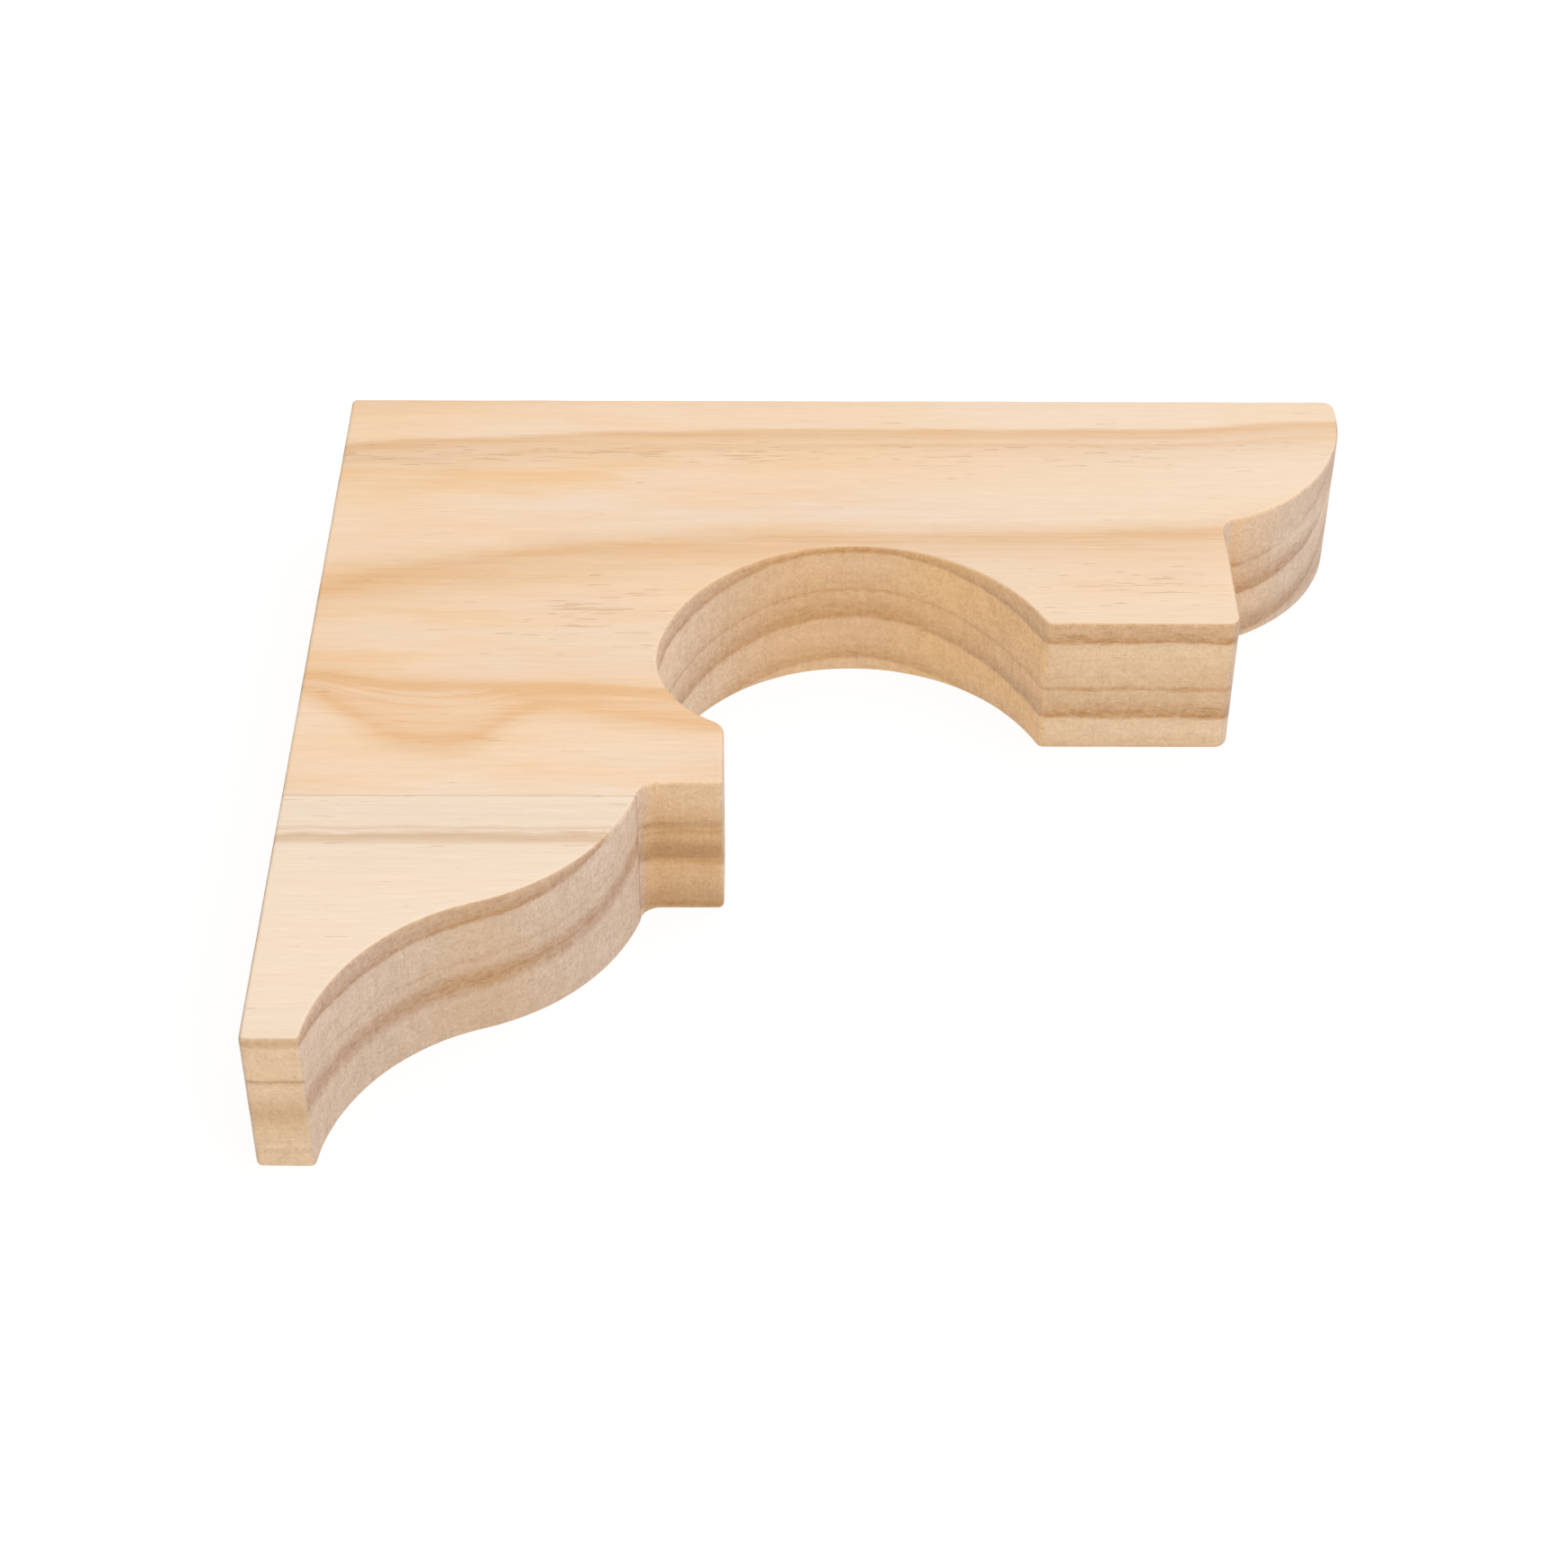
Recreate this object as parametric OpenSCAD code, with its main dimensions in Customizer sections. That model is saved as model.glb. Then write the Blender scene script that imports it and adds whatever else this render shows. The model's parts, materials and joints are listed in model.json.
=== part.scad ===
// Wooden corbel bracket: one board of softwood, cut to a moulded outline.
// A long nose under the shelf, a plain front block, a round arch, a small
// back block and a tail that sweeps down to the wall in an ogee.
//
// Frame: X runs out from the wall, Z is up, Y is across the thickness.
// The origin is the middle of the wall face. Millimetres.

/* [Board] */
// How far the shelf face runs out from the wall
projection = 250; // [225:1:320]
// How far the wall face runs down from the shelf face
drop = 229; // [200:1:300]
// Thickness of the board
thickness = 38; // [18:1:60]

/* [Nose] */
// Upright flat at the front of the nose
nose_flat = 7; // [4:0.5:20]
// Radius of the nose's round underside
nose_radius = 48; // [38:1:60]
// Rounding of the nose's upper front corner
nose_corner = 3; // [1:0.5:4]

/* [Front block] */
// Distance from the nose's front back to the block's front face
front_setback = 33.5; // [24:0.5:45]
// Depth of the block's underside below the shelf face
front_depth = 93; // [80:1:115]
// Rounding of the block's front lower edge
front_corner = 3; // [1:0.5:6]

/* [Arch] */
// Height of wood left above the arch
arch_cover = 63; // [50:1:80]
// Radius of the arch on the wall side
arch_radius = 46; // [38:1:56]
// How much larger the arch's radius is on the front block's side
arch_lead = 2; // [1:0.5:4]
// Distance from the back block's front face out to the arch's centre
arch_offset = 30.2; // [25:0.1:36]
// Radius at the foot of the arch, above the back block
arch_foot_radius = 26; // [20:0.5:32]
// Height angle at which the arch goes over to its foot
arch_foot_angle = 10; // [4:1:20]
// Rounding where the arch meets the front block's underside
arch_corner = 2; // [1:0.5:6]

/* [Back block] */
// Distance from the wall to the block's front face
back_reach = 96.3; // [80:0.1:116]
// Depth of the block's underside below the shelf face
back_depth = 150; // [142:1:175]
// Length of the flat on the block's underside
back_flat = 14.3; // [10:0.1:20]
// Rounding of the block's upper front edge
back_corner = 5; // [1:0.5:6]

/* [Tail] */
// Width of the flat at the tail's lower end
tail_flat = 12.5; // [8:0.5:20]
// Lean of the hollow curve where it leaves the tail's end, in degrees
tail_lean = 5.6; // [0:0.1:12]
// Lean of the swelling curve where it ends under the back block, in degrees
swell_lean = 16.3; // [8:0.1:24]
// Radius of the swelling curve for each millimetre of the hollow one's
swell_ratio = 1.08; // [0.7:0.01:1.5]

/* [Coves] */
// Radius of the two small coves behind the nose and under the back block
cove_radius = 4.5; // [3:0.5:8]

/* [Show] */
// Which piece to draw

/* [Hidden] */
$fa = 2;
$fs = 0.5;

pine = [0.94, 0.83, 0.70];

// Places on the outline, as distance out from the wall and depth below the
// shelf face.
front_x = projection - front_setback;
nose_x = projection - nose_radius;

// the nose ends over the middle of its cove
nose_end = [
    front_x + cove_radius,
    nose_flat + sqrt(pow(nose_radius, 2)
        - pow(front_x + cove_radius - nose_x, 2))
];

// centres of the arch's two halves, which meet at its top, and of its foot,
// which it runs into without a break
arch_c = [back_reach + arch_offset, arch_cover + arch_radius];
arch_lead_radius = arch_radius + arch_lead;
lead_c = [arch_c[0], arch_cover + arch_lead_radius];
arch_top = [arch_c[0], arch_cover];
foot_dir = [-cos(arch_foot_angle), -sin(arch_foot_angle)];
foot_c = arch_c + (arch_radius - arch_foot_radius) * foot_dir;
foot_start = arch_c + arch_radius * foot_dir;

// centre of the rounding between the arch and the front block
arch_corner_c = [
    lead_c[0] + sqrt(pow(arch_lead_radius + arch_corner, 2)
        - pow(lead_c[1] - front_depth + arch_corner, 2)),
    front_depth - arch_corner
];
arch_end = between(lead_c, arch_corner_c, arch_lead_radius);

// centre of the rounding between the foot and the back block
back_corner_c = [
    back_reach - back_corner,
    foot_c[1] + sqrt(pow(arch_foot_radius + back_corner, 2)
        - pow(foot_c[0] - back_reach + back_corner, 2))
];
foot_end = between(foot_c, back_corner_c, arch_foot_radius);

// The tail's ogee: a hollow from the lower end, then a swelling up to the
// notch under the back block. Both radii follow from its two ends.
tail_end = [tail_flat, drop];
notch_x = back_reach - back_flat;
notch = [notch_x - cove_radius, back_depth + cove_radius];
tail_dir = [cos(tail_lean), sin(tail_lean)];
swell_dir = [cos(swell_lean), sin(swell_lean)];
ogee_v = tail_end - notch;
ogee_w = tail_dir + swell_ratio * swell_dir;
ogee_k = pow(1 + swell_ratio, 2) - ogee_w * ogee_w;
hollow_radius = (ogee_v * ogee_w
    + sqrt(pow(ogee_v * ogee_w, 2) + (ogee_v * ogee_v) * ogee_k)) / ogee_k;
swell_radius = swell_ratio * hollow_radius;
hollow_c = tail_end + hollow_radius * tail_dir;
swell_c = notch - swell_radius * swell_dir;
ogee_turn = between(hollow_c, swell_c, hollow_radius);

// The corners of the outline, as seen from the front: down the wall face,
// along the underside to the nose, and back along the shelf face.
notch_top = [notch_x, back_depth];
back_top = [back_reach, back_corner_c[1]];
front_in = [arch_corner_c[0], front_depth];
front_low = [front_x - front_corner, front_depth];
front_face = [front_x, front_depth - front_corner];
front_cove = [front_x, nose_end[1] + cove_radius];
nose_low = [projection, nose_flat];
nose_face = [projection, nose_corner];
nose_top = [projection - nose_corner, 0];
corners = [
    [0, 0], [0, drop], tail_end, ogee_turn, notch, notch_top,
    [back_reach, back_depth], back_top, foot_end, foot_start, arch_top,
    arch_end, front_in, front_low, front_face, front_cove, nose_end, nose_low,
    nose_face, nose_top
];

// Curves between two corners: [from, to, centre, radius, how far the curve
// runs on past its first corner, and past its second].
run = 0.4;
swells = [
    [ogee_turn, notch, swell_c, swell_radius, 0, 0],
    [back_top, foot_end, back_corner_c, back_corner, run, 0],
    [arch_end, front_in, arch_corner_c, arch_corner, 0, run],
    [front_low, front_face, [front_low[0], front_face[1]], front_corner,
        run, run],
    [nose_end, nose_low, [nose_x, nose_flat], nose_radius, 0, run],
    [nose_face, nose_top, [nose_top[0], nose_face[1]], nose_corner, run, run]
];

// The hollows are cut a hair deeper than they are drawn, so that each ends
// in a clean edge where it meets the next curve.
hair = 0.002;
hollows = [
    [tail_end, ogee_turn, hollow_c, hollow_radius + hair, 2 * run, 2 * run],
    [notch, notch_top, [notch_top[0], notch[1]], cove_radius + hair, run, run],
    [foot_end, foot_start, foot_c, arch_foot_radius + 3 * hair, run, 3 * run],
    [foot_start, arch_top, arch_c, arch_radius + hair, 0, 8 * run],
    [arch_top, arch_end, lead_c, arch_lead_radius + 0.75 * hair, run, run],
    [front_cove, nose_end, [nose_end[0], front_cove[1]], cove_radius + hair,
        run, run]
];

// the point on the way from a to b at distance d from a
function between(a, b, d) = a + d * (b - a) / norm(b - a);

// distance out and depth below the shelf face, to X and Z of the frame
function at(p) = [p[0], drop / 2 - p[1]];

// The part of a curve's disc that lies past the line between its corners:
// on the right of it (side 1) or on the left (side -1).
module past_line(curve, side) {
    p = at(curve[0]);
    q = at(curve[1]);
    r = curve[3];
    way = (q - p) / norm(q - p);
    out = side * [way[1], -way[0]];
    a = p - way * curve[4];
    b = q + way * curve[5];
    back = out * min(1, r / 6);
    intersection() {
        translate(at(curve[2])) circle(r = r);
        polygon([a - back, a + out * r, b + out * r, b - back]);
    }
}

module profile() {
    difference() {
        union() {
            polygon([for (p = corners) at(p)]);
            for (c = swells) past_line(c, 1);
        }
        for (c = hollows) past_line(c, -1);
    }
}

module bracket() {
    color(pine)
        rotate([90, 0, 0])
            linear_extrude(height = thickness, center = true)
                profile();
}

bracket();
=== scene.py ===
"""Wooden corbel bracket: one moulded softwood board.

The visible board is a dense mesh on the outline of the CAD part, with its
arrises eased, and carries a solid wood figure: growth rings round a leaning
pith, so that faces, edges and end grain all agree.
"""
import json
import math
from types import SimpleNamespace

import bpy
import numpy as np
from mathutils import Matrix, Vector
from mathutils.geometry import tessellate_polygon

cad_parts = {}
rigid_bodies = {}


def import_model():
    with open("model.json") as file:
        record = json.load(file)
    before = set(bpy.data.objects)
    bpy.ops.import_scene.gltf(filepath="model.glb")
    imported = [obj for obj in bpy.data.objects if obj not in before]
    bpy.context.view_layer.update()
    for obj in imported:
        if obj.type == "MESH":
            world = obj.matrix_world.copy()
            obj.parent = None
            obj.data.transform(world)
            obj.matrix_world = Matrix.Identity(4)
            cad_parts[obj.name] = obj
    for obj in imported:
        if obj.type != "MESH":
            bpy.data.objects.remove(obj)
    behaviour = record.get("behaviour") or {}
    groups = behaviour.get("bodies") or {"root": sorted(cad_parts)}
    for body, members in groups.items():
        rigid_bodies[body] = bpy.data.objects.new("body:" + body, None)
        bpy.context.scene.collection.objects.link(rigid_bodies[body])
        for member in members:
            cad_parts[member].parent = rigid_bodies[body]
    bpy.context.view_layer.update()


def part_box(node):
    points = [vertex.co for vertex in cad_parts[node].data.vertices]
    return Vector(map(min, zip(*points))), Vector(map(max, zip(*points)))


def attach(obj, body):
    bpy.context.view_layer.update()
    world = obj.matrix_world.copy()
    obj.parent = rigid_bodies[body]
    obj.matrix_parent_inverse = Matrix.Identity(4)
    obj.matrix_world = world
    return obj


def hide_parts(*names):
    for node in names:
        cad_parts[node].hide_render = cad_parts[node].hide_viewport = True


MM = 0.001


# ---------------------------------------------------------------- clean start
for thing in list(bpy.data.objects):
    bpy.data.objects.remove(thing, do_unlink=True)

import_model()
low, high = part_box("bracket")

# ------------------------------------------------------- sizes of the bracket
# In millimetres, and degrees for the angle and the leans. The outline has the
# same values as the part's source.
PROJECTION = (high.x - low.x) / MM
DROP = (high.z - low.z) / MM
THICK = (high.y - low.y) / MM
TOP = high.z / MM
FRONT = low.y / MM

NOSE_FLAT, NOSE_R, NOSE_CORNER = 7.0, 48.0, 3.0
FRONT_SETBACK, FRONT_DEPTH, FRONT_CORNER = 33.5, 93.0, 3.0
ARCH_COVER, ARCH_R, ARCH_LEAD_R, ARCH_OFFSET = 63.0, 46.0, 48.0, 30.2
FOOT_R, FOOT_ANGLE, ARCH_CORNER = 26.0, 10.0, 2.0
BACK_REACH, BACK_DEPTH, BACK_FLAT, BACK_CORNER = 96.3, 150.0, 14.3, 5.0
TAIL_FLAT, TAIL_LEAN, SWELL_LEAN, SWELL_RATIO = 12.5, 5.6, 16.3, 1.08
COVE = 4.5
# Only the visible board has these.
EASE = 1.05  # easing of the arrises
EASE_VARIES = 0.16  # how much of the easing comes and goes along an arris
BACK_EASE = 1.2  # the back arris is eased this many times as much
CORNER = 1.35  # easing of the sharp upright corners
RIPPLE = 0.05  # depth of the ripples on the sawn edges
ARRIS_STEPS = 7  # faces round an arris
EDGE_STEPS = 26  # faces across a sawn edge
# Lengths of the steps round tiny, small and large curves.
TINY, SMALL, LARGE = 0.25, 0.35, 0.9


def vec(a, b):
    return np.array([float(a), float(b)])


def unit(v):
    return v / np.hypot(*v)


def slant(degrees):
    return vec(math.cos(math.radians(degrees)), math.sin(math.radians(degrees)))


def toward(a, b, distance):
    return a + distance * unit(b - a)


def drop_to(radius, across):
    """How far along one axis a circle is, where it lies this far on the other."""
    return math.sqrt(radius**2 - across**2)


def line(start, stop, step):
    count = max(1, int(round(np.hypot(*(stop - start)) / step)))
    return [start + (stop - start) * (i / count) for i in range(count)]


def arc(start, stop, centre, step):
    """The points of the shorter arc, without its last."""
    radius = np.hypot(*(start - centre))
    first = math.atan2(*(start - centre)[::-1])
    last = math.atan2(*(stop - centre)[::-1])
    turn = (last - first + math.pi) % (2 * math.pi) - math.pi
    count = max(4, int(round(abs(turn) * radius / step)))
    angles = [first + turn * i / count for i in range(count)]
    return [centre + radius * vec(math.cos(a), math.sin(a)) for a in angles]


def eased(before, corner, after):
    """A small round at a sharp corner: its start, its end and its centre."""
    back, on = unit(before - corner), unit(after - corner)
    half = math.acos(max(-1.0, min(1.0, float(back @ on)))) / 2
    reach = CORNER / math.tan(half)
    centre = corner + unit(back + on) * CORNER / math.sin(half)
    return corner + back * reach, corner + on * reach, centre


def outline_points():
    """The outline in (distance out, depth below the shelf face), as nearly
    evenly spaced points, going down the wall face first."""
    front_x = PROJECTION - FRONT_SETBACK
    nose_x = PROJECTION - NOSE_R
    nose_end = vec(front_x + COVE, NOSE_FLAT + drop_to(NOSE_R, front_x + COVE - nose_x))
    arch_centre = vec(BACK_REACH + ARCH_OFFSET, ARCH_COVER + ARCH_R)
    lead_centre = vec(arch_centre[0], ARCH_COVER + ARCH_LEAD_R)
    arch_top = vec(arch_centre[0], ARCH_COVER)
    # the foot's arc goes on from the arch's arc without a kink
    foot_way = -slant(FOOT_ANGLE)
    foot_centre = arch_centre + (ARCH_R - FOOT_R) * foot_way
    foot_start = arch_centre + ARCH_R * foot_way
    # the small round where the arch meets the front block
    below = lead_centre[1] - FRONT_DEPTH + ARCH_CORNER
    corner_x = lead_centre[0] + drop_to(ARCH_LEAD_R + ARCH_CORNER, below)
    arch_corner = vec(corner_x, FRONT_DEPTH - ARCH_CORNER)
    arch_end = toward(lead_centre, arch_corner, ARCH_LEAD_R)
    # and where its foot meets the back block
    inward = foot_centre[0] - BACK_REACH + BACK_CORNER
    corner_depth = foot_centre[1] + drop_to(FOOT_R + BACK_CORNER, inward)
    back_corner = vec(BACK_REACH - BACK_CORNER, corner_depth)
    foot_end = toward(foot_centre, back_corner, FOOT_R)

    # the hollow and the swelling of the tail meet without a kink
    tail_end = vec(TAIL_FLAT, DROP)
    notch = vec(BACK_REACH - BACK_FLAT - COVE, BACK_DEPTH + COVE)
    hollow_way, swell_way = slant(TAIL_LEAN), slant(SWELL_LEAN)
    gap = tail_end - notch
    ways = hollow_way + SWELL_RATIO * swell_way
    rest = (1 + SWELL_RATIO) ** 2 - ways @ ways
    hollow_r = (gap @ ways + math.sqrt((gap @ ways) ** 2 + (gap @ gap) * rest)) / rest
    hollow_centre = tail_end + hollow_r * hollow_way
    swell_centre = notch - SWELL_RATIO * hollow_r * swell_way
    turn = toward(hollow_centre, swell_centre, hollow_r)
    notch_top = vec(BACK_REACH - BACK_FLAT, BACK_DEPTH)

    shelf_back = vec(0, 0)
    wall_low = vec(0, DROP)
    back_low = vec(BACK_REACH, BACK_DEPTH)
    back_high = vec(BACK_REACH, back_corner[1])
    nose_top = vec(PROJECTION - NOSE_CORNER, 0)
    # direction of the hollow where it leaves the tail's end
    tail_up = tail_end + vec(hollow_way[1], -hollow_way[0]) * 5
    at_shelf = eased(nose_top, shelf_back, wall_low)
    at_wall = eased(shelf_back, wall_low, tail_end)
    at_tail = eased(wall_low, tail_end, tail_up)
    at_back = eased(notch_top, back_low, back_high)

    points = arc(*at_shelf, TINY)
    points += line(at_shelf[1], at_wall[0], 2.2)
    points += arc(*at_wall, TINY)
    points += line(at_wall[1], at_tail[0], 1.2)
    points += arc(*at_tail, TINY)
    # the hollow starts where the eased corner ends
    points += arc(toward(hollow_centre, at_tail[1], hollow_r), turn, hollow_centre, LARGE)
    points += arc(turn, notch, swell_centre, LARGE)
    points += arc(notch, notch_top, vec(notch_top[0], notch[1]), SMALL)
    points += line(notch_top, at_back[0], 1.2)
    points += arc(*at_back, TINY)
    points += line(at_back[1], back_high, 1.2)
    points += arc(back_high, foot_end, back_corner, SMALL)
    points += arc(foot_end, foot_start, foot_centre, LARGE)
    points += arc(foot_start, arch_top, arch_centre, LARGE)
    points += arc(arch_top, arch_end, lead_centre, LARGE)
    block_start = vec(arch_corner[0], FRONT_DEPTH)
    block_low = vec(front_x - FRONT_CORNER, FRONT_DEPTH)
    block_front = vec(front_x, FRONT_DEPTH - FRONT_CORNER)
    cove_low = vec(front_x, nose_end[1] + COVE)
    points += arc(arch_end, block_start, arch_corner, TINY)
    points += line(block_start, block_low, 1.6)
    points += arc(block_low, block_front, vec(block_low[0], block_front[1]), SMALL)
    points += line(block_front, cove_low, 1.6)
    points += arc(cove_low, nose_end, vec(nose_end[0], cove_low[1]), SMALL)
    nose_low = vec(PROJECTION, NOSE_FLAT)
    nose_high = vec(PROJECTION, NOSE_CORNER)
    points += arc(nose_end, nose_low, vec(nose_x, NOSE_FLAT), LARGE)
    points += line(nose_low, nose_high, 1.0)
    points += arc(nose_high, nose_top, vec(nose_top[0], NOSE_CORNER), SMALL)
    points += line(nose_top, at_shelf[0], 2.2)

    points = np.array(points)
    apart = np.hypot(*(points - np.roll(points, 1, axis=0)).T)
    # points that fall together are dropped
    return points[apart > 0.02]


def outline():
    """The outline in X and Z of the frame, anticlockwise seen from the front,
    its outward normals, and how much further off an inset point lies."""
    points = outline_points()
    xz = np.column_stack([points[:, 0], TOP - points[:, 1]])
    before = xz - np.roll(xz, 1, axis=0)
    after = np.roll(xz, -1, axis=0) - xz
    before /= np.linalg.norm(before, axis=1)[:, None]
    after /= np.linalg.norm(after, axis=1)[:, None]
    along = before + after
    along /= np.linalg.norm(along, axis=1)[:, None]
    normal = np.column_stack([along[:, 1], -along[:, 0]])
    # at a kink the inset point lies further off, as on a mitre
    half = np.sqrt(np.clip((1 + (before * after).sum(1)) / 2, 0.25, 1))
    return xz, normal, 1.0 / half


def board_rows(n, turn):
    """For each row of points, from the front face to the back: how far in it
    lies, its Y, and how far the surface has turned from the front face."""

    def waves(seed):
        rng = np.random.default_rng(seed)
        total = np.zeros(n)
        for count in range(5, 60):
            size = rng.uniform(0.5, 1.0) / count**0.4
            total += size * np.sin(count * turn + rng.uniform(0, 2 * math.pi))
        return total / np.abs(total).max()

    # the easing of the front and back arrises varies a little, as by hand
    front = EASE * (1 + EASE_VARIES * waves(3))
    back = EASE * (BACK_EASE + EASE_VARIES * waves(8))
    first, last = FRONT + front, FRONT + THICK - back
    angles = [math.radians(90 * i / ARRIS_STEPS) for i in range(ARRIS_STEPS + 1)]
    rows = []
    for a in angles:
        rows.append((front * (1 - math.sin(a)), FRONT + front * (1 - math.cos(a)), a))
    for i in range(1, EDGE_STEPS):
        rows.append((np.zeros(n), first + (last - first) * (i / EDGE_STEPS), math.pi / 2))
    for a in reversed(angles):
        y = FRONT + THICK - back * (1 - math.cos(a))
        rows.append((back * (1 - math.sin(a)), y, math.pi - a))
    return rows


def board():
    xz, normal, mitre = outline()
    n = len(xz)
    steps = np.linalg.norm(np.diff(xz, axis=0), axis=1)
    way = np.concatenate([[0], np.cumsum(steps)])
    total = way[-1] + np.linalg.norm(xz[0] - xz[-1])
    rows = board_rows(n, way / total * 2 * math.pi)

    # The cutter leaves the sawn edge very slightly uneven: shallow ripples
    # along the outline that lean a little from face to face.
    rng = np.random.default_rng(21)
    ripples = []
    for _ in range(14):
        size = rng.uniform(0.4, 1.0)
        often = 2 * math.pi / rng.uniform(5.0, 26.0)
        lean = rng.uniform(-0.05, 0.05) * 6
        ripples.append((size, often, lean, rng.uniform(0, 6.28)))
    sizes = sum(ripple[0] for ripple in ripples)
    # they fade out at the start of the outline, where they would not close
    fade = np.clip(np.minimum(way, total - way) / 12.0, 0, 1)

    verts, normals = [], []
    for inset, y, angle in rows:
        out = normal * math.sin(angle)
        normals.append(np.column_stack([out[:, 0], np.full(n, -math.cos(angle)), out[:, 1]]))
        wave = np.zeros(n)
        for size, often, lean, start in ripples:
            wave += size * np.sin(often * (way + lean * (y - FRONT)) + start)
        wave = (wave / sizes * 0.5 + 0.5) * RIPPLE
        back = (inset * mitre + wave * fade)[:, None]
        place = xz - normal * back
        verts.append(np.column_stack([place[:, 0], y, place[:, 1]]))
    places = np.clip(np.concatenate(verts) * MM, tuple(low), tuple(high))

    faces = []
    for j in range(len(rows) - 1):
        for i in range(n):
            k = (i + 1) % n
            faces.append((j * n + i, (j + 1) * n + i, (j + 1) * n + k, j * n + k))
    # the two broad faces
    for j, flip in ((0, False), (len(rows) - 1, True)):
        flat = places[j * n : (j + 1) * n][:, [0, 2]]
        loop = [Vector((x, z, 0)) for x, z in flat]
        for triangle in tessellate_polygon([loop]):
            a, b, c = triangle
            # anticlockwise seen from the front faces the front
            if (np.cross(flat[b] - flat[a], flat[c] - flat[a]) > 0) == flip:
                b, c = c, b
            faces.append((j * n + a, j * n + b, j * n + c))
    mesh = bpy.data.meshes.new("board")
    mesh.from_pydata([tuple(place) for place in places], [], faces)
    mesh.polygons.foreach_set("use_smooth", [True] * len(faces))
    mesh.update()
    mesh.normals_split_custom_set_from_vertices([tuple(v) for v in np.concatenate(normals)])
    obj = bpy.data.objects.new("board", mesh)
    bpy.context.scene.collection.objects.link(obj)
    return obj


# ------------------------------------------------------------------- the wood
class Nodes:
    """Short names for the nodes of a material."""

    def __init__(self, tree):
        self.tree = tree

    def new(self, kind, **values):
        node = self.tree.nodes.new(kind)
        for name, value in values.items():
            setattr(node, name, value)
        return node

    def put(self, socket, value):
        if isinstance(value, bpy.types.NodeSocket):
            self.tree.links.new(value, socket)
        elif value is not None:
            socket.default_value = value

    def math(self, operation, a, b=None, clamp=False):
        node = self.new("ShaderNodeMath", operation=operation, use_clamp=clamp)
        for socket, value in zip(node.inputs, (a, b)):
            self.put(socket, value)
        return node.outputs[0]

    def chain(self, operation, values):
        result = values[0]
        for value in values[1:]:
            result = self.math(operation, result, value)
        return result

    def add(self, *values):
        return self.chain("ADD", values)

    def mul(self, *values):
        return self.chain("MULTIPLY", values)

    def most(self, *values):
        return self.chain("MAXIMUM", values)

    def sub(self, a, b):
        return self.math("SUBTRACT", a, b)

    def less(self, value, amount):
        """1, less an amount of the value."""
        return self.sub(1.0, self.mul(value, amount))

    def about(self, noise, amount):
        """The noise moved to lie about 0, times an amount."""
        return self.mul(self.sub(noise, 0.5), amount)

    def span(self, value, start, stop, first=0.0, last=1.0, smooth=True):
        """Goes from first to last as the value goes from start to stop."""
        kind = "SMOOTHSTEP" if smooth else "LINEAR"
        node = self.new("ShaderNodeMapRange", interpolation_type=kind, clamp=True)
        names = ("Value", "From Min", "From Max", "To Min", "To Max")
        for name, given in zip(names, (value, start, stop, first, last)):
            self.put(node.inputs[name], given)
        return node.outputs["Result"]

    def bell(self, value, centre, width):
        """1 at the centre, falling to about a third at the width."""
        away = self.math("DIVIDE", self.sub(value, centre), width)
        return self.math("EXPONENT", self.mul(away, away, -1.0))

    def field(self, place, sizes, detail, rough, shift=(0, 0, 0)):
        """Noise with features of these sizes, in mm along X, Y and Z."""
        join = self.new("ShaderNodeCombineXYZ")
        for socket, value, size, moved in zip(join.inputs, place, sizes, shift):
            value = self.mul(value, 1 / size)
            self.put(socket, value if moved == 0 else self.add(value, moved))
        node = self.new("ShaderNodeTexNoise", noise_dimensions="3D")
        self.put(node.inputs["Vector"], join.outputs[0])
        node.inputs["Scale"].default_value = 1.0
        node.inputs["Detail"].default_value = detail
        node.inputs["Roughness"].default_value = rough
        return node.outputs["Fac"]

    def ramp(self, value, stops, interpolation="LINEAR"):
        """The amount at a place along a list of (place, amount), both 0 to 1."""
        node = self.new("ShaderNodeValToRGB")
        ramp = node.color_ramp
        ramp.interpolation = interpolation
        ramp.elements.remove(ramp.elements[-1])
        for number, (place, amount) in enumerate(stops):
            stop = ramp.elements.new(place) if number else ramp.elements[0]
            stop.position = place
            stop.color = (amount, amount, amount, 1.0)
        self.put(node.inputs["Fac"], value)
        return node.outputs["Color"]

    def mix(self, amount, a, b, blend="MIX"):
        """Colour a, turned into colour b by the amount."""
        node = self.new("ShaderNodeMix", data_type="RGBA", blend_type=blend)
        node.clamp_factor = True
        self.put(node.inputs["Factor"], amount)
        # the sockets 6 and 7, and output 2, are the ones that hold colours
        self.put(node.inputs[6], a)
        self.put(node.inputs[7], b)
        return node.outputs[2]


# Colours of the broad faces: the wood, its late rings, the dashes and the glue.
PALE = (0.930, 0.700, 0.490, 1.0)
PALE_PINK = (0.925, 0.727, 0.555, 1.0)
SAPWOOD = (0.880, 0.705, 0.575, 1.0)
HONEY = (0.915, 0.615, 0.350, 1.0)
PALE_NOSE = (0.905, 0.738, 0.580, 1.0)
TAIL_CREAM = (0.932, 0.782, 0.626, 1.0)
TAIL_DULL = (0.860, 0.715, 0.550, 1.0)
RING = (0.735, 0.425, 0.190, 1.0)
RING_TAIL = (0.640, 0.415, 0.245, 1.0)
RING_FLAME = (0.830, 0.440, 0.165, 1.0)
DASH = (0.530, 0.300, 0.140, 1.0)
GLUE = (0.46, 0.32, 0.20, 1.0)
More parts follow.
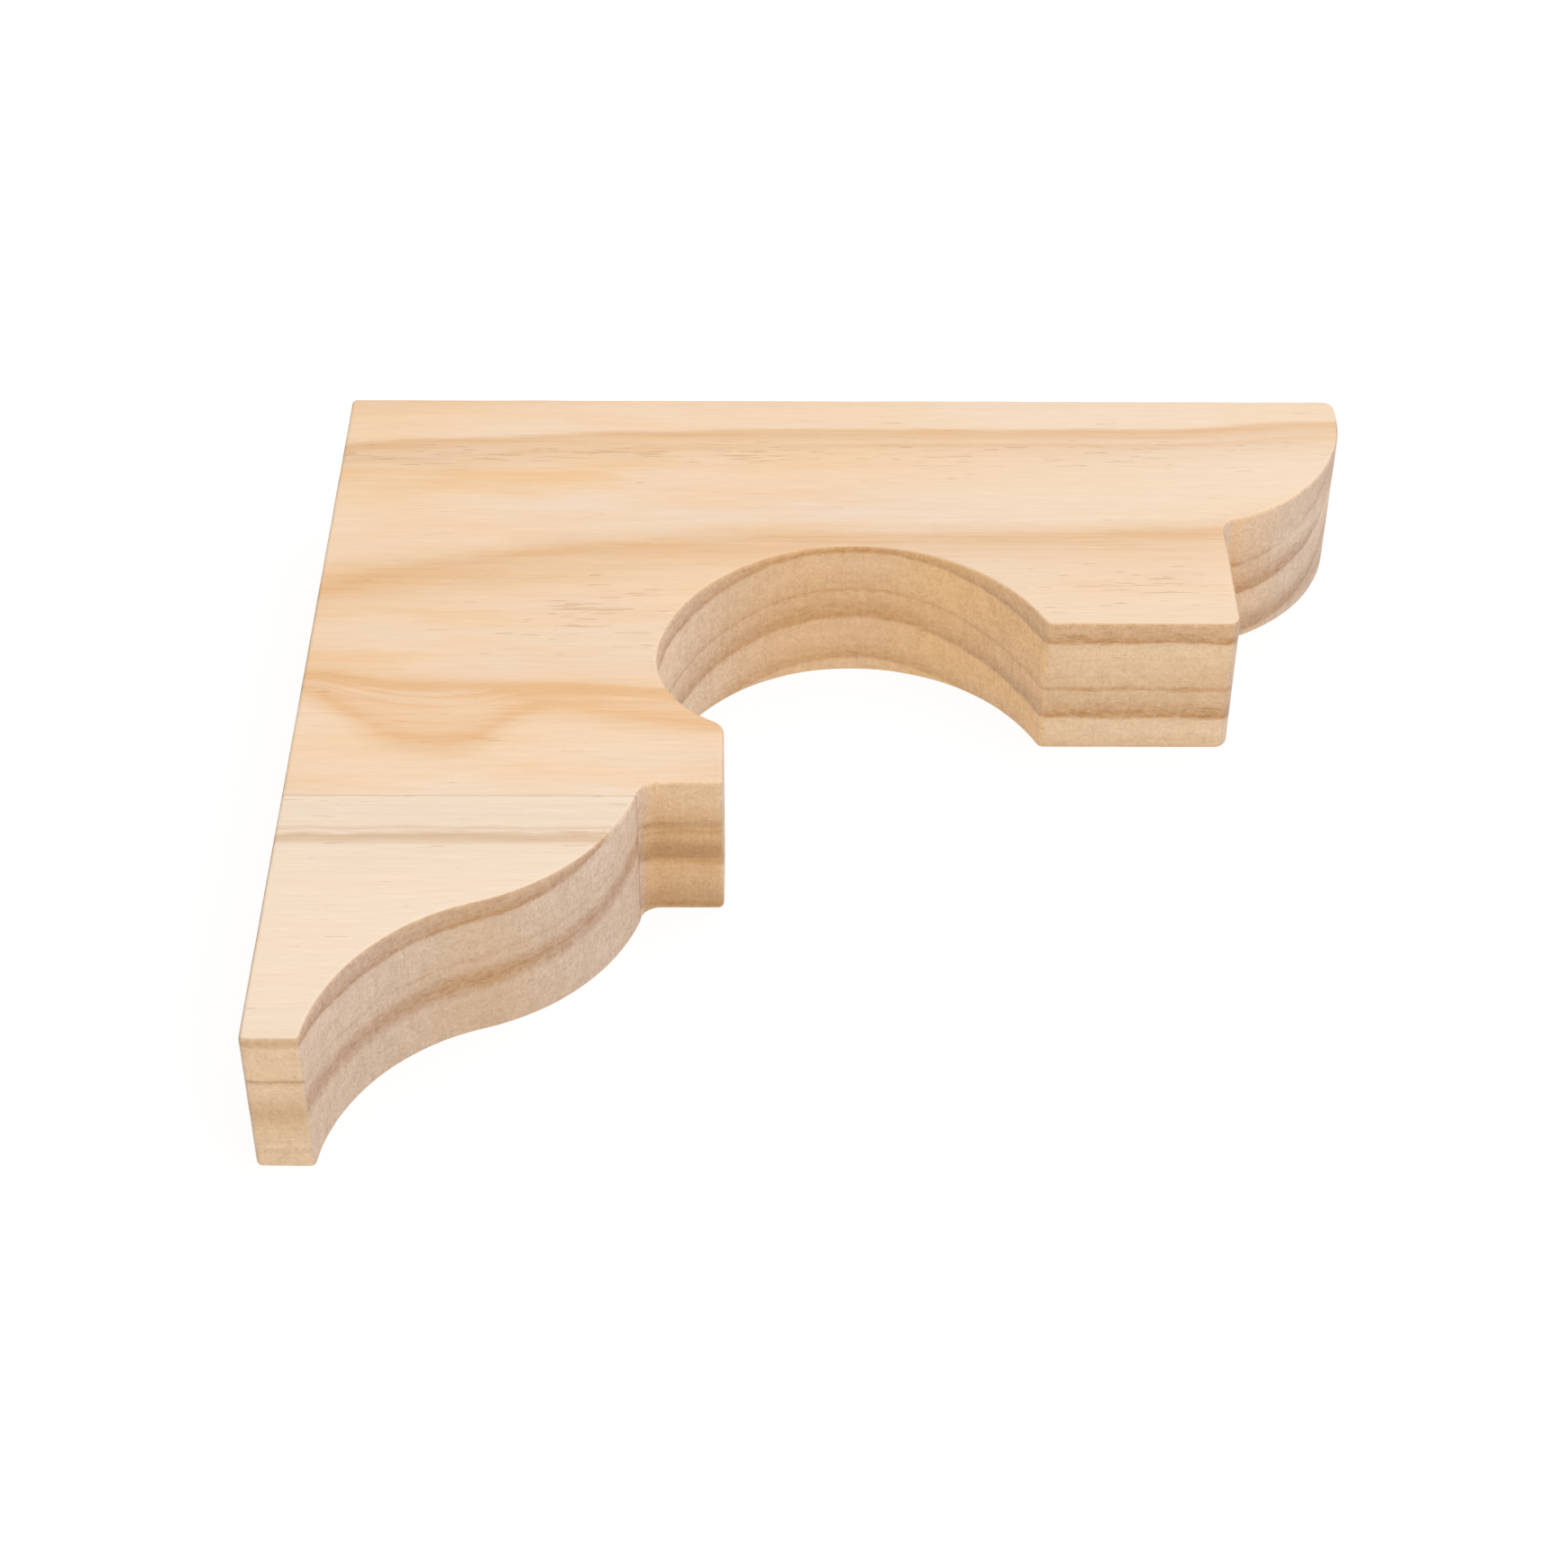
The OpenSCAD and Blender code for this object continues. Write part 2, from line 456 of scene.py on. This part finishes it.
# Colours of the sawn edges.
SAWN = (0.955, 0.662, 0.410, 1.0)
SAWN_PALE = (0.962, 0.690, 0.444, 1.0)
SAWN_TAIL = (0.768, 0.562, 0.400, 1.0)
END_GRAIN = (0.812, 0.612, 0.466, 1.0)
LATE_SAWN = (0.600, 0.300, 0.105, 1.0)
LATE_END = (0.540, 0.320, 0.195, 1.0)
RESIN = (0.420, 0.215, 0.075, 1.0)
BURN = (0.800, 0.475, 0.205, 1.0)
# painted light on the lead side of the arch
LEAD_SIDE_PAINTED_LIGHT = (1.000, 0.640, 0.300, 1.0)
# painted light on the back side of the arch
BACK_SIDE_PAINTED_LIGHT = (1.000, 0.790, 0.570, 1.0)
# painted shade near the back arris of the nose
NOSE_BACK_PAINTED_SHADE = (0.480, 0.290, 0.165, 1.0)
MID_NOSE = (0.930, 0.735, 0.565, 1.0)
HEEL_BANDS = (0.420, 0.225, 0.095, 1.0)
FOOT_BANDS = (0.560, 0.310, 0.140, 1.0)

GLUE_LINE = 154.4  # below the shelf face, where the tail strip is glued on
PITH_AHEAD = 95.0  # the pith lies this far in front of the board
PITH_DOWN = 91.0  # and this far below the shelf face
PITH_TAIL = 109.0  # the pith of the tail strip lies this much lower

# How dark the late wood is by the radius of the ring, in mm from the pith.
RING_LOW, RING_HIGH = 84.0, 164.0
ON_FACE = [
    (84.0, 0.30), (86.5, 0.45), (87.4, 0.02), (92.0, 0.04), (95.0, 0.10), (97.2, 0.30),
    (98.9, 0.62), (100.2, 0.98), (101.2, 0.42), (102.6, 0.08), (106.0, 0.02), (111.0, 0.08),
    (114.0, 0.20), (117.0, 0.34), (118.4, 0.70), (119.2, 0.44), (120.6, 0.68),
    (121.4, 0.86), (122.3, 0.96), (123.4, 0.04), (128.0, 0.06), (132.5, 0.30), (135.4, 0.90),
    (136.4, 0.04), (141.0, 0.06), (146.0, 0.30), (149.0, 0.95), (150.0, 0.04),
    (156.0, 0.12), (162.0, 0.80),
]
ON_EDGE = [
    (84.0, 0.30), (88.0, 0.05), (92.0, 0.30), (94.5, 0.60), (97.4, 0.50), (99.3, 0.74),
    (100.6, 1.0), (101.3, 0.16), (102.4, 0.06), (103.5, 0.02), (107.0, 0.06), (110.5, 0.20),
    (112.4, 0.26), (113.8, 0.40), (114.6, 0.78), (115.5, 0.30), (118.0, 0.42),
    (120.6, 0.74), (123.0, 1.0), (124.0, 0.10), (127.0, 0.02), (131.0, 0.22),
    (135.4, 0.85), (136.4, 0.05), (142.0, 0.10), (146.0, 0.40), (149.0, 0.95),
    (150.0, 0.05), (156.0, 0.15), (162.0, 0.80),
]
# Where the ring of the flame lies below the shelf face, by distance out. The
# flame is this long and lies within this height below its top.
FLAME_OUT, FLAME_TOP, FLAME_HIGH = 110.0, 110.0, 30.0
FLAME_LEVEL = 124.0  # where that ring would lie if it did not dip
FLAME = [
    (0, 119), (8, 124), (15, 130.5), (24, 135.5), (34, 137.6), (42, 135.4),
    (48, 129), (55, 125.2), (64, 125.2), (78, 128.4), (96, 132),
]


def find_place(n):
    """Where a point of the wood lies, in mm, and which part of the board it is."""
    scaled = n.new("ShaderNodeVectorMath", operation="SCALE")
    n.put(scaled.inputs[0], n.new("ShaderNodeTexCoord").outputs["Object"])
    scaled.inputs["Scale"].default_value = 1 / MM
    split = n.new("ShaderNodeSeparateXYZ")
    n.put(split.inputs[0], scaled.outputs[0])
    facing = n.new("ShaderNodeSeparateXYZ")
    n.put(facing.inputs[0], n.new("ShaderNodeNewGeometry").outputs["Normal"])

    p = SimpleNamespace()
    p.all = tuple(split.outputs)
    p.x = split.outputs[0]
    p.down = n.sub(TOP, split.outputs[2])  # below the shelf face
    p.deep = n.sub(split.outputs[1], FRONT)  # behind the front face
    p.facing_x, facing_y, p.facing_z = facing.outputs
    # 1 on the sawn edges, and 1 on end grain
    p.edge = n.span(n.math("ABSOLUTE", facing_y), 0.96, 0.62)
    p.end = n.mul(n.span(n.math("ABSOLUTE", p.facing_x), 0.2, 0.85), p.edge)
    p.tail = n.math("GREATER_THAN", p.down, GLUE_LINE)
    p.main = n.sub(1.0, p.tail)
    # the flat end of the tail
    p.foot = n.mul(n.span(p.down, DROP - 2.2, DROP - 1.0), n.span(p.facing_z, -0.45, -0.85))
    # the front of the main board behind the arch, where the flame shows
    p.front = n.mul(n.span(p.deep, 12.0, 0.5), p.main, n.span(p.x, 118.0, 92.0))
    return p


def grow_rings(n, p):
    """Growth rings round a pith that leans away in front of the board. The
    strip glued on at the tail has its own pith."""
    g = SimpleNamespace()
    wide = n.about(n.field(p.all, (150, 55, 48), 2.0, 0.5), 2.4)
    medium = n.about(n.field(p.all, (40, 26, 15), 3.0, 0.5, (7.0, 0, 3.0)), 1.5)
    g.fine = n.field(p.all, (17, 8, 4.5), 3.0, 0.55, (2.0, 0, 6.0))
    g.medium = n.add(medium, n.about(g.fine, 0.9))
    lean = n.mul(n.math("POWER", n.most(n.less(p.x, 1 / 112), 0.0), 1.6), 5.2)
    lean = n.mul(lean, n.span(p.down, 98.0, 76.0))
    # the flame: a ring that dips and rises along the board behind the arch
    out = n.span(p.x, 0.0, FLAME_OUT, smooth=False)
    stops = [(x / FLAME_OUT, (down - FLAME_TOP) / FLAME_HIGH) for x, down in FLAME]
    g.dip = n.add(n.mul(n.ramp(out, stops, "B_SPLINE"), FLAME_HIGH), FLAME_TOP - FLAME_LEVEL)
    dipped = n.sub(p.down, n.mul(g.dip, n.span(p.down, 82.0, 123.0), p.main))
    sink = n.mul(n.span(p.down, 134.0, 151.0), n.span(p.x, 50.0, 78.0), 7.0, p.main)
    # the rings turn away a little toward the tip
    tip = n.mul(n.span(p.x, 205.0, 245.0), 3.2)
    above = n.add(PITH_AHEAD, lean, n.sub(n.sub(p.deep, sink), tip))
    beside = n.sub(dipped, n.add(PITH_DOWN, n.mul(p.tail, PITH_TAIL)))
    radius = n.math("SQRT", n.add(n.mul(above, above), n.mul(beside, beside)))
    radius = n.add(radius, n.add(wide, g.medium))
    # the ring behind the crown of the arch lies a little nearer
    crown = n.mul(n.bell(p.x, 126.0, 40.0), n.bell(p.down, 64.0, 19.0))
    radius = n.add(radius, n.mul(crown, n.span(p.deep, 2.0, 18.0), 4.2))
    # the tail strip grew a little slower
    grown = n.add(radius, n.mul(n.most(n.sub(radius, 101.0), 0.0), 0.30))
    limit = n.add(131.0, n.mul(n.sub(radius, 131.0), 0.05))
    grown = n.math("MINIMUM", grown, limit)
    radius = n.add(n.mul(radius, p.main), n.mul(grown, p.tail))
    # ragged cell edges along the ring boundaries
    g.ragged = n.field(p.all, (7, 0.7, 0.7), 3.0, 0.6)
    g.ring = n.add(radius, n.about(g.ragged, n.add(0.9, n.mul(p.edge, 0.7))))
    return g


def late_wood(n, ring, table):
    """How dark the late wood is at this ring, from one of the tables."""
    along = n.span(ring, RING_LOW, RING_HIGH, smooth=False)
    wide = RING_HIGH - RING_LOW
    return n.ramp(along, [((radius - RING_LOW) / wide, dark) for radius, dark in table])


def late_on_face(n, p, g):
    """How dark the late wood is on the broad faces, 0 to 1."""
    # streaky along the grain
    streaky = n.span(n.field(p.all, (42, 1.3, 1.1), 3.0, 0.65), 0.30, 0.70, 0.78, 1.22)
    late = n.mul(late_wood(n, g.ring, ON_FACE), streaky)
    # in the tail strip one ring ends more sharply
    sharp = n.mul(n.span(g.ring, 100.4, 101.0), n.span(g.ring, 104.5, 103.5))
    late = n.mul(late, n.less(n.mul(sharp, p.tail), 0.85))

    # a line along the top of the flame, and a warmth within it
    rise = n.mul(n.span(p.x, 0.0, 22.0), 4.0)
    fall = n.mul(n.span(p.x, 52.0, 104.0), 3.6)
    top_line = n.add(112.0, rise, fall, n.mul(g.medium, 1.6))
    off = n.add(n.sub(p.down, top_line), n.about(g.ragged, 1.4))
    patchy = n.field(p.all, (26, 9, 7), 2.0, 0.5, (0, 0, 11.0))
    thin = n.mul(n.bell(off, 0.3, 1.9), n.add(0.30, n.mul(patchy, 0.56)))
    flame = n.mul(n.add(thin, n.mul(n.bell(off, -1.5, 6.0), 0.32)), p.front)
    blush = n.mul(n.span(off, -2.0, 2.0), n.span(g.ring, 100.9, 100.1), p.front)
    blush = n.mul(blush, n.add(0.30, n.mul(patchy, 0.42)))
    streak = n.field(p.all, (34, 1.6, 1.5), 3.0, 0.6, (0, 0, n.mul(g.dip, 0.28)))
    blush = n.mul(blush, n.span(streak, 0.34, 0.64, 0.45, 1.45))

    # the twin lines of the tail strip
    down = n.add(n.sub(p.down, n.mul(g.medium, 1.5)), n.about(g.ragged, 1.2))
    lower = n.add(n.mul(n.bell(down, 167.8, 0.8), 0.75), n.mul(n.bell(down, 171.6, 0.5), 0.3))
    twin = n.add(n.mul(n.bell(down, 164.9, 0.7), 0.55), lower)
    twin = n.mul(twin, n.mul(p.tail, n.span(p.deep, 14.0, 1.0)))
    late = n.math("MAXIMUM", late, n.most(n.add(flame, blush), twin), clamp=True)
    # and little dark below them
    return n.mul(late, n.less(n.mul(p.tail, n.span(p.down, 168.5, 171.0)), 0.85))


def late_on_edge(n, p, g):
    """How dark the late wood is on the sawn edges, 0 to 1."""
    late = late_wood(n, g.ring, ON_EDGE)
    faded = n.mul(p.tail, n.span(g.ring, 119.5, 117.5))
    late = n.mul(late, n.less(faded, n.mul(n.span(g.ring, 108.0, 110.0), 0.45)))
    # one band of the tail strip is broad and soft on the edges
    soft = n.bell(n.add(g.ring, n.mul(g.fine, 2.0)), 124.6, 3.6)
    late = n.most(late, n.mul(soft, n.mul(p.tail, 0.84)))
    # the end of the tail shows its own faint bands
    return n.mul(late, n.less(p.foot, 0.80))


def colour_face(n, p, late, patches):
    """The colour of the broad faces."""
    colour = n.mix(n.span(patches, 0.38, 0.62), PALE, PALE_PINK)
    # pinker sapwood between the first two rings
    pink = n.mul(n.bell(p.down, 47.0, 8.5), n.bell(p.x, 118.0, 62.0), n.span(p.deep, 30.0, 0.0))
    colour = n.mix(n.mul(pink, 0.8), colour, SAPWOOD)
    where = n.field(p.all, (55, 30, 9), 3.0, 0.55, (3.1, 0, 9.4))
    smudge = n.mul(n.bell(p.down, 34.0, 9.0), n.span(p.x, 165.0, 50.0))
    at_wall = n.mul(n.bell(p.down, 96.0, 20.0), n.span(p.x, 42.0, 0.0))
    honey = n.add(
        n.mul(n.span(where, 0.44, 0.72), n.span(p.x, 85.0, 175.0, 0.45, 0.14)),
        n.mul(n.most(smudge, at_wall), n.span(where, 0.30, 0.62, 0.22, 0.72)),
    )
    colour = n.mix(n.mul(honey, n.less(p.tail, 0.65)), colour, HONEY)
    # paler towards the nose
    nose = n.mul(n.span(p.x, 90.0, 200.0), n.less(n.bell(p.down, 84.0, 16.0), 0.8))
    colour = n.mix(n.mul(nose, 0.42), colour, PALE_NOSE)
    # the tail strip is creamier, and dull near the glue
    colour = n.mix(n.mul(p.tail, 0.7), colour, TAIL_CREAM)
    colour = n.mix(n.mul(n.bell(p.down, 160.0, 5.0), p.tail, 0.6), colour, TAIL_DULL)
    # the flame is more orange than the other rings
    glow = n.mul(n.bell(p.down, 124.0, 17.0), p.front, 0.75)
    line = n.mix(glow, n.mix(p.tail, RING, RING_TAIL), RING_FLAME)
    return n.mix(n.mul(late, 0.69), colour, line)


def colour_edge(n, p, late, patches):
    """The colour of the sawn edges."""
    early = n.mix(n.span(patches, 0.40, 0.62), SAWN, SAWN_PALE)
    # the tail strip's edge is a little greyer
    early = n.mix(n.mul(p.tail, n.sub(1.0, p.foot), 0.65), early, SAWN_TAIL)
    early = n.mix(p.end, early, END_GRAIN)
    bitty = n.field(p.all, (2.2, 1.1, 2.2), 3.0, 0.7)
    amount = n.mul(late, n.span(bitty, 0.30, 0.68, 0.66, 1.10))
    colour = n.mix(n.mul(amount, 0.94), early, n.mix(p.end, LATE_SAWN, LATE_END))
    # dark bits of resin in the late part of the rings
    bits = n.span(n.field(p.all, (4.6, 0.75, 2.4), 3.0, 0.65, (0, 0, 2.7)), 0.55, 0.68)
    bits = n.mul(bits, n.mul(n.span(late, 0.25, 0.75), n.less(p.end, 0.7)))
    colour = n.mix(n.mul(bits, 0.62), colour, RESIN)

    # a light sawing burn warms the deeper edges of the arch and the heel,
    # which is the underside of the back block
    arch = n.mul(n.span(p.down, 52.0, 66.0), n.span(p.down, 118.0, 96.0))
    arch = n.mul(n.span(p.x, 78.0, 100.0), n.span(p.x, 186.0, 150.0), arch)
    level = n.span(n.math("ABSOLUTE", p.facing_z), 0.3, 0.8)
    heel = n.mul(n.bell(p.down, 150.0, 4.0), level)
    burn = n.most(arch, n.mul(heel, n.span(p.deep, 6.0, 14.0, 0.50, 1.60)))
    colour = n.mix(n.mul(burn, 0.36), colour, BURN)
    # painted light: the lead side of the arch, which faces -X, is painted brighter and more
    # orange, standing in for light that the lamps don't bring there
    lead = n.mul(n.span(p.facing_x, 0.05, -0.50), n.span(p.x, 120.0, 150.0), p.edge)
    lead = n.mul(lead, n.less(late, 0.85))
    colour = n.mix(n.mul(lead, 0.80), colour, LEAD_SIDE_PAINTED_LIGHT)
    # painted light: the back side of the arch, which faces +X, is painted paler, as where the
    # light falls on it
    back = n.mul(n.bell(p.down, 104.0, 30.0), n.span(p.x, 116.0, 96.0))
    back = n.mul(back, n.span(p.facing_x, 0.25, 0.75), n.span(p.x, 74.0, 80.0))
    back = n.mul(back, n.less(late, 0.9))
    colour = n.mix(n.mul(back, 0.44), colour, BACK_SIDE_PAINTED_LIGHT)

    # painted shade on the round of the nose near its back arris, and bands on the round of the
    # nose, under the back block and on the tail's end
    wavy = n.add(p.deep, n.about(bitty, 1.6))
    round_nose = n.mul(p.edge, n.span(p.facing_z, 0.60, 0.10))
    # painted shade: a darker strip across the round of the nose near its back arris, next to
    # the floor the board lies on
    dark = n.mul(n.span(p.x, 217.5, 222.0), n.mul(n.bell(wavy, 33.0, 3.6), round_nose))
    colour = n.mix(n.mul(dark, 0.40), colour, NOSE_BACK_PAINTED_SHADE)
    light = n.mul(n.span(p.x, 226.0, 234.0), n.mul(n.bell(wavy, 12.5, 4.0), round_nose))
    colour = n.mix(n.mul(light, 0.55), colour, MID_NOSE)
    broad = n.mul(n.span(wavy, 15.5, 19.5), n.span(wavy, 22.6, 21.6), 0.95)
    deep = n.add(n.mul(n.bell(wavy, 36.2, 1.0), 0.6), n.mul(n.bell(wavy, 33.6, 4.2), 0.55))
    bands = n.add(
        n.mul(n.bell(wavy, 12.0, 1.0), 0.7),
        n.mul(n.bell(wavy, 14.6, 0.7), 0.5),
        n.add(broad, deep),
    )
    colour = n.mix(n.mul(bands, heel, 0.50), colour, HEEL_BANDS)
    bands = n.add(
        n.mul(n.span(wavy, 3.2, 2.2), 0.50),
        n.bell(wavy, 12.3, 0.45),
        n.add(n.mul(n.bell(wavy, 22.0, 3.6), 0.55), n.mul(n.bell(wavy, 33.0, 0.8), 0.25)),
    )
    return n.mix(n.mul(bands, p.foot, 0.62), colour, FOOT_BANDS)


def find_dashes(n, p):
    """Resin canals: short thin dashes along the grain, gathered in the late
    part of the rings. 1 on a dash, and none on end grain."""
    dash = n.field(p.all, (8.5, 0.55, 0.55), 2.0, 0.5, (0, 0, 0.4))
    top = n.mul(n.bell(p.down, 24.5, 5.5), n.span(p.x, 235.0, 150.0, 0.6, 0.98))
    mid_left = n.mul(n.bell(p.down, 89.0, 16.0), n.bell(p.x, 68.0, 30.0), 0.92)
    mid_right = n.mul(n.bell(p.down, 80.0, 9.0), n.bell(p.x, 196.0, 30.0), 0.95)
    tail = n.mul(n.bell(p.down, 171.0, 3.0), 0.5)
    spread = n.field(p.all, (30, 18, 9), 2.0, 0.5, (5.2, 0, 0))
    spread = n.mul(n.span(spread, 0.50, 0.70), 0.40)
    gathered = n.most(top, mid_left, n.most(mid_right, tail), spread)
    need = n.sub(0.735, n.mul(gathered, 0.150))
    return n.mul(n.span(n.sub(dash, need), 0.0, 0.06), n.sub(1.0, p.end))


def wood():
    material = bpy.data.materials.new("bare pine")
    material.use_nodes = True
    tree = material.node_tree
    tree.nodes.clear()
    n = Nodes(tree)
    p = find_place(n)
    g = grow_rings(n, p)
    late_face = late_on_face(n, p, g)
    patches = n.field(p.all, (85, 24, 26), 2.0, 0.5)
    face = colour_face(n, p, late_face, patches)
    edge = colour_edge(n, p, late_on_edge(n, p, g), patches)
    colour = n.mix(p.edge, face, edge)

    # fibres along the grain
    fibre = n.field(p.all, (11, 0.5, 0.5), 4.0, 0.66)
    broad_fibre = n.field(p.all, (48, 1.9, 1.9), 3.0, 0.6)
    lines = n.add(n.about(fibre, 0.23), n.about(broad_fibre, 0.12))
    # open cell ends and saw fuzz on the edges
    speck = n.field(p.all, (0.75, 0.95, 0.75), 3.0, 0.75)
    clump = n.field(p.all, (3.4, 3.0, 3.4), 3.0, 0.6)
    fuzz = n.field(p.all, (0.9, 11, 0.9), 3.0, 0.6)
    fleck = n.add(n.about(speck, 0.78), n.about(clump, 0.34), n.about(fuzz, 0.26))
    fleck = n.mul(fleck, n.mul(p.edge, n.add(0.62, n.mul(p.end, 0.38))))
    lines = n.add(n.mul(lines, n.less(p.end, 0.85)), fleck)
    # blue changes the most and red the least
    tone = n.new("ShaderNodeCombineXYZ")
    for socket, amount in zip(tone.inputs, (0.9, 1.1, 1.35)):
        n.put(socket, n.add(1.0, n.mul(lines, amount)))
    colour = n.mix(1.0, colour, tone.outputs[0], "MULTIPLY")

    dash = find_dashes(n, p)
    colour = n.mix(n.mul(dash, 0.42), colour, DASH)
    # the glue line
    glue_face = n.mul(n.bell(p.down, GLUE_LINE, 0.20), 0.42)
    glue_edge = n.mul(n.bell(p.down, GLUE_LINE - 0.1, 0.40), n.mul(p.edge, 0.80))
    colour = n.mix(n.most(glue_face, glue_edge), colour, GLUE)

    rough_edge = n.mul(n.add(n.about(fuzz, 0.8), n.about(speck, 1.5)), p.edge)
    height = n.add(n.about(fibre, n.sub(0.5, n.mul(p.end, 0.4))), rough_edge)
    bump = n.new("ShaderNodeBump")
    bump.inputs["Strength"].default_value = 0.8
    bump.inputs["Distance"].default_value = 0.0003
    n.put(bump.inputs["Height"], n.sub(height, n.mul(dash, 0.2)))
    roughness = n.add(0.56, n.mul(p.edge, 0.18), n.about(broad_fibre, 0.16))

    shader = n.new("ShaderNodeBsdfPrincipled")
    n.put(shader.inputs["Base Color"], colour)
    n.put(shader.inputs["Roughness"], n.sub(roughness, n.mul(late_face, 0.06)))
    n.put(shader.inputs["Normal"], bump.outputs[0])
    shader.inputs["Specular IOR Level"].default_value = 0.28
    out = n.new("ShaderNodeOutputMaterial")
    n.put(out.inputs["Surface"], shader.outputs[0])
    return material


piece = board()
piece.data.materials.append(wood())
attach(piece, "root")
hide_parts("bracket")

# ------------------------------------------------------------------ the stage
# The bracket is pictured lying on its back on a pale floor. In the frame of
# the part, where the bracket stands as fixed to a wall, that floor is upright.
FLOOR_GAP = 0.0003  # between the back of the board and the floor
FLOOR_HALF = 3.0  # half the side of the floor
FLOOR_COLOUR = (0.155, 0.155, 0.155, 1.0)
FLOOR_GLOW = 0.885
WHITE = (1.0, 1.0, 1.0, 1.0)
middle_x, middle_z = (low.x + high.x) / 2, (low.z + high.z) / 2


def pale_floor():
    """Pale and glowing on the side that faces the board, clear on the other."""
    material = bpy.data.materials.new("pale floor")
    material.use_nodes = True
    tree = material.node_tree
    tree.nodes.clear()
    n = Nodes(tree)
    diffuse = n.new("ShaderNodeBsdfDiffuse")
    diffuse.inputs["Color"].default_value = FLOOR_COLOUR
    glow = n.new("ShaderNodeEmission")
    glow.inputs["Color"].default_value = WHITE
    glow.inputs["Strength"].default_value = FLOOR_GLOW
    both = n.new("ShaderNodeAddShader")
    n.put(both.inputs[0], diffuse.outputs[0])
    n.put(both.inputs[1], glow.outputs[0])
    side = n.new("ShaderNodeMixShader")
    n.put(side.inputs[0], n.new("ShaderNodeNewGeometry").outputs["Backfacing"])
    n.put(side.inputs[1], both.outputs[0])
    n.put(side.inputs[2], n.new("ShaderNodeBsdfTransparent").outputs[0])
    out = n.new("ShaderNodeOutputMaterial")
    n.put(out.inputs["Surface"], side.outputs[0])
    return material


floor_mesh = bpy.data.meshes.new("floor")
floor_corners = [
    (middle_x + across * FLOOR_HALF, high.y + FLOOR_GAP, middle_z + up * FLOOR_HALF)
    for across, up in ((-1, -1), (1, -1), (1, 1), (-1, 1))
]
floor_mesh.from_pydata(floor_corners, [], [(0, 1, 2, 3)])
floor_mesh.materials.append(pale_floor())
floor = bpy.data.objects.new("floor", floor_mesh)
bpy.context.scene.collection.objects.link(floor)
# the floor sends no light back onto the board, and throws no shadow of its own
floor.visible_diffuse = False
floor.visible_shadow = False

# ------------------------------------------------------------------ the light
SKY_COLOUR, SKY_STRENGTH = (1.0, 0.985, 0.965, 1.0), 0.6


def studio():
    """A soft warm light all round, that is plain white where it is seen,
    reflected or seen through something."""
    world = bpy.data.worlds.new("studio")
    world.use_nodes = True
    tree = world.node_tree
    tree.nodes.clear()
    n = Nodes(tree)
    path = n.new("ShaderNodeLightPath").outputs
    mirrored = n.most(path["Is Glossy Ray"], path["Is Transmission Ray"])
    both = n.new("ShaderNodeMixShader")
    n.put(both.inputs[0], n.most(path["Is Camera Ray"], mirrored))
    shades = ((SKY_COLOUR, SKY_STRENGTH), (WHITE, 1.0))
    for socket, (colour, strength) in zip(both.inputs[1:], shades):
        shade = n.new("ShaderNodeBackground")
        shade.inputs["Color"].default_value = colour
        shade.inputs["Strength"].default_value = strength
        n.put(socket, shade.outputs[0])
    out = n.new("ShaderNodeOutputWorld")
    n.put(out.inputs["Surface"], both.outputs[0])
    return world


def lamp(name, place, size, power, colour):
    """A square lamp that points at the middle of the board."""
    data = bpy.data.lights.new(name, "AREA")
    data.shape = "SQUARE"
    data.size = size
    data.energy = power
    data.color = colour
    obj = bpy.data.objects.new(name, data)
    bpy.context.scene.collection.objects.link(obj)
    obj.location = place
    toward_board = Vector((middle_x, 0.0, middle_z)) - Vector(place)
    obj.rotation_euler = toward_board.to_track_quat("-Z", "Y").to_euler()


NEARLY_WHITE = (1.0, 0.99, 0.98)
bpy.context.scene.world = studio()
lamp("key", (0.55, -1.25, 0.40), 1.1, 5.95, NEARLY_WHITE)
lamp("low", (0.95, -0.70, -1.05), 0.9, 6.0, NEARLY_WHITE)
lamp("left", (-0.80, -0.75, -0.60), 0.8, 1.7, (1.0, 0.98, 0.95))
lamp("behind", (-0.2, 1.4, 0.6), 1.2, 6.5, NEARLY_WHITE)

# ----------------------------------------------------------------- the camera
# Level with the floor it lies on, the bracket is seen from the tail's side and
# above: place and turn are first written for a floor that is level.
PITCH, YAW, ROLL = 0.7106804, -0.005641, 0.005671
STAND = np.array([0.10670, -0.67620, 0.49066])
LENS = 72.72  # for a frame 36 mm wide


def turned(v):
    """From a level floor (right, away, up) to the part's frame."""
    return np.array([v[0], -v[2], v[1]])


across = np.array([math.cos(YAW), math.sin(YAW), 0.0])
away = np.array([-math.sin(YAW), math.cos(YAW), 0.0])
ahead = away * math.cos(PITCH) + np.array([0, 0, -math.sin(PITCH)])
upward = away * math.sin(PITCH) + np.array([0, 0, math.cos(PITCH)])
rolled_right = across * math.cos(ROLL) + upward * math.sin(ROLL)
rolled_up = -across * math.sin(ROLL) + upward * math.cos(ROLL)

camera_data = bpy.data.cameras.new("camera")
camera_data.sensor_width = 36.0
camera_data.sensor_fit = "HORIZONTAL"
camera_data.lens = LENS
camera_data.clip_start = 0.01
camera_data.clip_end = 50.0
camera = bpy.data.objects.new("camera", camera_data)
bpy.context.scene.collection.objects.link(camera)
stand = turned(STAND) + np.array([0.0, high.y, high.z])
columns = (turned(rolled_right), turned(rolled_up), -turned(ahead), stand)
rows = [[column[row] for column in columns] for row in range(3)]
camera.matrix_world = Matrix(rows + [[0, 0, 0, 1]])
bpy.context.scene.camera = camera
bpy.context.scene.view_settings.view_transform = "Standard"
